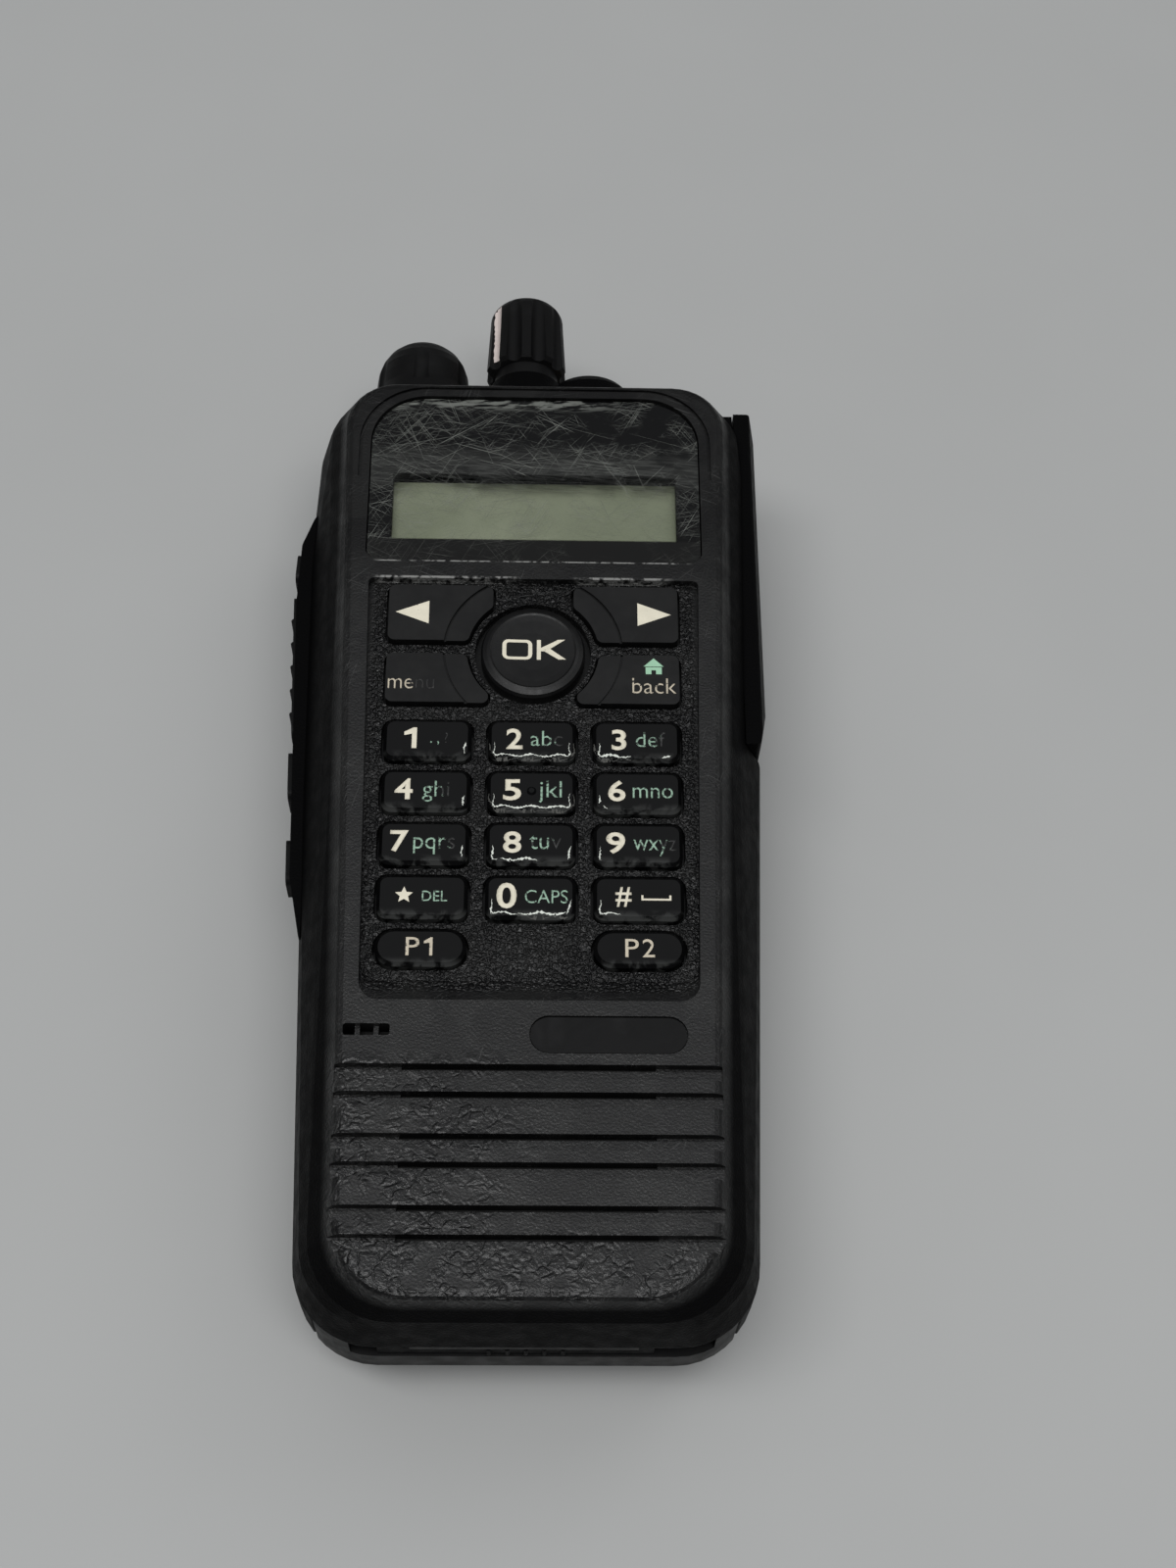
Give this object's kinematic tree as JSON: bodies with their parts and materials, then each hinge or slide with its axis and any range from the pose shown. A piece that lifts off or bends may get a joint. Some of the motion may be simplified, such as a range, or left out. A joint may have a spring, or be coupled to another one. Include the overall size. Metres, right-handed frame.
{
  "type": "two way radio",
  "caption": "Handheld two way radio with display, navigation pad, telephone keypad, speaker grille, knobs on top, push-to-talk side buttons, slide-on battery and a covered accessory port",
  "frame": {"origin": "on the flat back of the battery, below the middle of the body's front panel", "axes": "+X to the accessory port on the right as seen from the front, +Y towards the knobs, +Z out of the front panel"},
  "size_m": [0.0648, 0.1557, 0.0352],
  "materials": {
    "housing": "fine texture",
    "lens": "polished, scratched",
    "seal": "matt",
    "lcd": "pale reflective display",
    "key_gloss": "gloss",
    "key_satin": "satin",
    "membrane": "matt",
    "board": "circuit board",
    "mesh": "woven",
    "cone": "matt",
    "steel": "bare",
    "frame_plastic": "matt",
    "chassis": "die cast",
    "shield": "tin plated",
    "switch": "matt",
    "brass": "plain",
    "light_pipe": "clear",
    "knob": "soft touch",
    "side_rubber": "matt",
    "battery": "fine texture",
    "cell": "wrapped",
    "contact": "gold plated",
    "plate": "satin"
  },
  "bodies": {
    "radio": {"front_housing": "housing", "display_lens": "lens", "lens_gasket": "seal", "lcd_module": "lcd", "keypad_membrane": "membrane", "keypad_board": "board", "speaker_mesh": "mesh", "speaker_frame": "frame_plastic", "speaker_cone": "cone", "speaker_magnet": "steel", "speaker_retainer": "frame_plastic", "microphone": "steel", "chassis": "chassis", "main_seal": "seal", "main_board": "board", "rf_shields": "shield", "volume_switch": "switch", "channel_switch": "switch", "top_fitting": "housing", "antenna_bushing": "brass", "led_lens": "light_pipe", "side_bezel": "housing", "side_switch_board": "board", "accessory_connector": "switch", "radio_contacts": "contact", "chassis_screws": "steel", "name_plate": "plate"},
    "volume_control": {"volume_knob": "knob", "volume_shaft": "brass"},
    "channel_control": {"channel_knob": "knob", "channel_shaft": "brass"},
    "key_1": {"key_1": "key_gloss"},
    "key_2": {"key_2": "key_gloss"},
    "key_3": {"key_3": "key_gloss"},
    "key_4": {"key_4": "key_gloss"},
    "key_5": {"key_5": "key_gloss"},
    "key_6": {"key_6": "key_gloss"},
    "key_7": {"key_7": "key_gloss"},
    "key_8": {"key_8": "key_gloss"},
    "key_9": {"key_9": "key_gloss"},
    "key_star": {"key_star": "key_gloss"},
    "key_0": {"key_0": "key_gloss"},
    "key_hash": {"key_hash": "key_gloss"},
    "key_p1": {"key_p1": "key_gloss"},
    "key_p2": {"key_p2": "key_gloss"},
    "key_ok": {"key_ok": "key_satin"},
    "key_left": {"key_left": "key_satin"},
    "key_right": {"key_right": "key_satin"},
    "key_menu": {"key_menu": "key_satin"},
    "key_back": {"key_back": "key_satin"},
    "ptt_button": {"ptt_button": "side_rubber"},
    "side_button_1": {"side_button_1": "side_rubber"},
    "side_button_2": {"side_button_2": "side_rubber"},
    "side_button_3": {"side_button_3": "side_rubber"},
    "top_button": {"top_button": "side_rubber"},
    "battery_latch": {"battery_latch": "housing"},
    "connector_cover": {"connector_cover": "housing"},
    "battery": {"battery_case": "battery", "battery_cover": "battery", "battery_cells": "cell"}
  },
  "joints": [
    {"name": "volume_turn", "type": "hinge", "parent": "radio", "child": "volume_control", "pos_m": [-0.0165, 0.07, 0.02], "axis": [0, -1, 0], "range_deg": [0, 290]},
    {"name": "channel_turn", "type": "hinge", "parent": "radio", "child": "channel_control", "pos_m": [-0.0014, 0.07, 0.02], "axis": [0, -1, 0], "range_deg": [0, 337.5]},
    {"name": "key_1_press", "type": "slide", "parent": "radio", "child": "key_1", "axis": [0, 0, -1], "range_m": [0, 0.0005], "stiffness_N_per_m": 400, "springref_m": -0.0006},
    {"name": "key_2_press", "type": "slide", "parent": "radio", "child": "key_2", "axis": [0, 0, -1], "range_m": [0, 0.0005], "stiffness_N_per_m": 400, "springref_m": -0.0006},
    {"name": "key_3_press", "type": "slide", "parent": "radio", "child": "key_3", "axis": [0, 0, -1], "range_m": [0, 0.0005], "stiffness_N_per_m": 400, "springref_m": -0.0006},
    {"name": "key_4_press", "type": "slide", "parent": "radio", "child": "key_4", "axis": [0, 0, -1], "range_m": [0, 0.0005], "stiffness_N_per_m": 400, "springref_m": -0.0006},
    {"name": "key_5_press", "type": "slide", "parent": "radio", "child": "key_5", "axis": [0, 0, -1], "range_m": [0, 0.0005], "stiffness_N_per_m": 400, "springref_m": -0.0006},
    {"name": "key_6_press", "type": "slide", "parent": "radio", "child": "key_6", "axis": [0, 0, -1], "range_m": [0, 0.0005], "stiffness_N_per_m": 400, "springref_m": -0.0006},
    {"name": "key_7_press", "type": "slide", "parent": "radio", "child": "key_7", "axis": [0, 0, -1], "range_m": [0, 0.0005], "stiffness_N_per_m": 400, "springref_m": -0.0006},
    {"name": "key_8_press", "type": "slide", "parent": "radio", "child": "key_8", "axis": [0, 0, -1], "range_m": [0, 0.0005], "stiffness_N_per_m": 400, "springref_m": -0.0006},
    {"name": "key_9_press", "type": "slide", "parent": "radio", "child": "key_9", "axis": [0, 0, -1], "range_m": [0, 0.0005], "stiffness_N_per_m": 400, "springref_m": -0.0006},
    {"name": "key_star_press", "type": "slide", "parent": "radio", "child": "key_star", "axis": [0, 0, -1], "range_m": [0, 0.0005], "stiffness_N_per_m": 400, "springref_m": -0.0006},
    {"name": "key_0_press", "type": "slide", "parent": "radio", "child": "key_0", "axis": [0, 0, -1], "range_m": [0, 0.0005], "stiffness_N_per_m": 400, "springref_m": -0.0006},
    {"name": "key_hash_press", "type": "slide", "parent": "radio", "child": "key_hash", "axis": [0, 0, -1], "range_m": [0, 0.0005], "stiffness_N_per_m": 400, "springref_m": -0.0006},
    {"name": "key_p1_press", "type": "slide", "parent": "radio", "child": "key_p1", "axis": [0, 0, -1], "range_m": [0, 0.0005], "stiffness_N_per_m": 400, "springref_m": -0.0006},
    {"name": "key_p2_press", "type": "slide", "parent": "radio", "child": "key_p2", "axis": [0, 0, -1], "range_m": [0, 0.0005], "stiffness_N_per_m": 400, "springref_m": -0.0006},
    {"name": "key_ok_press", "type": "slide", "parent": "radio", "child": "key_ok", "axis": [0, 0, -1], "range_m": [0, 0.0005], "stiffness_N_per_m": 400, "springref_m": -0.0006},
    {"name": "key_left_press", "type": "slide", "parent": "radio", "child": "key_left", "axis": [0, 0, -1], "range_m": [0, 0.0005], "stiffness_N_per_m": 400, "springref_m": -0.0006},
    {"name": "key_right_press", "type": "slide", "parent": "radio", "child": "key_right", "axis": [0, 0, -1], "range_m": [0, 0.0005], "stiffness_N_per_m": 400, "springref_m": -0.0006},
    {"name": "key_menu_press", "type": "slide", "parent": "radio", "child": "key_menu", "axis": [0, 0, -1], "range_m": [0, 0.0005], "stiffness_N_per_m": 400, "springref_m": -0.0006},
    {"name": "key_back_press", "type": "slide", "parent": "radio", "child": "key_back", "axis": [0, 0, -1], "range_m": [0, 0.0005], "stiffness_N_per_m": 400, "springref_m": -0.0006},
    {"name": "ptt_press", "type": "slide", "parent": "radio", "child": "ptt_button", "axis": [0.9993, 0.0381, 0], "range_m": [0, 0.0008], "stiffness_N_per_m": 800, "springref_m": -0.0006},
    {"name": "side_button_1_press", "type": "slide", "parent": "radio", "child": "side_button_1", "axis": [0.9991, -0.0423, 0], "range_m": [0, 0.0005], "stiffness_N_per_m": 400, "springref_m": -0.0006},
    {"name": "side_button_2_press", "type": "slide", "parent": "radio", "child": "side_button_2", "axis": [0.9993, 0.0381, 0], "range_m": [0, 0.0005], "stiffness_N_per_m": 400, "springref_m": -0.0006},
    {"name": "side_button_3_press", "type": "slide", "parent": "radio", "child": "side_button_3", "axis": [0.9993, 0.0381, 0], "range_m": [0, 0.0005], "stiffness_N_per_m": 400, "springref_m": -0.0006},
    {"name": "top_button_press", "type": "slide", "parent": "radio", "child": "top_button", "axis": [0, -1, 0], "range_m": [0, 0.0007], "stiffness_N_per_m": 400, "springref_m": -0.0006},
    {"name": "battery_slide", "type": "slide", "parent": "radio", "child": "battery", "axis": [0, -1, 0], "range_m": [0, 0.03]},
    {"name": "latch_slide", "type": "slide", "parent": "battery", "child": "battery_latch", "axis": [1, 0, 0], "range_m": [0, 0.002]},
    {"name": "connector_cover_open", "type": "hinge", "parent": "radio", "child": "connector_cover", "pos_m": [0.0296, 0.01255, 0.0218], "axis": [0, 0, -1], "range_deg": [0, 75]}
  ]
}
